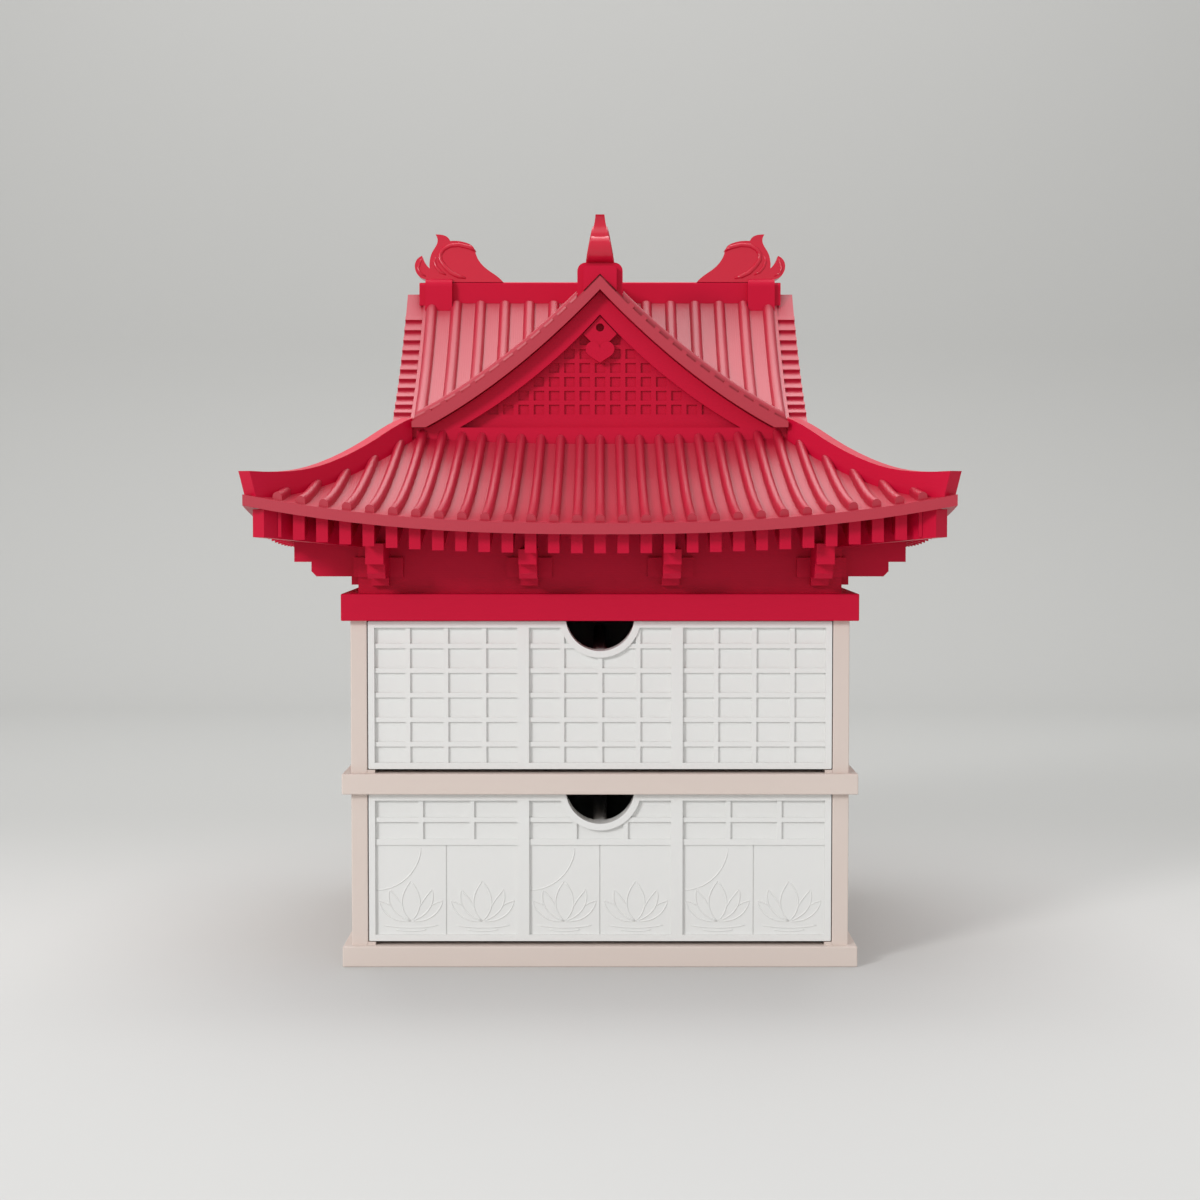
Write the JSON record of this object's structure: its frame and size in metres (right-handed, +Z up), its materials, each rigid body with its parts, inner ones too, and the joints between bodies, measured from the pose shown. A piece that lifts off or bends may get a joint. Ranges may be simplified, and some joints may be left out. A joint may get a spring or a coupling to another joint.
{
  "type": "desktop drawer chest",
  "caption": "Desktop chest with two sliding drawers in an open-fronted case, under a square temple roof with a cross gable, moulded in plastic.",
  "frame": {"origin": "bottom centre of the base plate", "axes": "+Z up; the drawers face and open towards -Y; +X is to the right seen from the front"},
  "size_m": [0.2418, 0.2418, 0.2647],
  "materials": {
    "case_beige": "satin moulded plastic, warm beige",
    "drawer_white": "satin moulded plastic, white",
    "roof_red": "satin plastic, crimson, with fine layer lines",
    "finial_red": "smooth glossy plastic, crimson",
    "screw_steel": "zinc-plated steel"
  },
  "bodies": {
    "cabinet": {"attic_wall_back": "roof_red", "attic_wall_front": "roof_red", "attic_wall_left": "roof_red", "attic_wall_right": "roof_red", "barge_board_back": "roof_red", "barge_board_front": "roof_red", "barge_board_left": "roof_red", "barge_board_right": "roof_red", "base_plate": "case_beige", "case_pegs": "case_beige", "eave_brackets_back": "roof_red", "eave_brackets_front": "roof_red", "eave_brackets_left": "roof_red", "eave_brackets_right": "roof_red", "finial_back": "finial_red", "finial_front": "finial_red", "finial_left": "finial_red", "finial_right": "finial_red", "frieze_back": "roof_red", "frieze_front": "roof_red", "frieze_left": "roof_red", "frieze_right": "roof_red", "gable_lattice_back": "roof_red", "gable_lattice_front": "roof_red", "gable_lattice_left": "roof_red", "gable_lattice_right": "roof_red", "gable_pendants": "roof_red", "gable_roof_back": "roof_red", "gable_roof_front": "roof_red", "gable_roof_left": "roof_red", "gable_roof_right": "roof_red", "hip_rafters": "roof_red", "hip_ridges": "roof_red", "lower_back_wall": "case_beige", "lower_left_wall": "case_beige", "lower_right_wall": "case_beige", "middle_shelf": "case_beige", "rafters_back": "roof_red", "rafters_front": "roof_red", "rafters_left": "roof_red", "rafters_right": "roof_red", "ridge_beams": "roof_red", "ridge_blocks": "roof_red", "roof_tray": "roof_red", "skirt_slope_back": "roof_red", "skirt_slope_front": "roof_red", "skirt_slope_left": "roof_red", "skirt_slope_right": "roof_red", "upper_back_wall": "case_beige", "upper_left_wall": "case_beige", "upper_right_wall": "case_beige"},
    "lower_drawer": {"lower_drawer_divider": "drawer_white", "lower_drawer_front": "drawer_white", "lower_drawer_tub": "drawer_white", "lower_front_screws": "screw_steel"},
    "upper_drawer": {"upper_drawer_divider": "drawer_white", "upper_drawer_front": "drawer_white", "upper_drawer_tub": "drawer_white", "upper_front_screws": "screw_steel"}
  },
  "joints": [
    {"name": "lower_drawer_slide", "type": "slide", "parent": "cabinet", "child": "lower_drawer", "axis": [0, -1, 0], "range_m": [0, 0.13]},
    {"name": "upper_drawer_slide", "type": "slide", "parent": "cabinet", "child": "upper_drawer", "axis": [0, -1, 0], "range_m": [0, 0.13]}
  ]
}
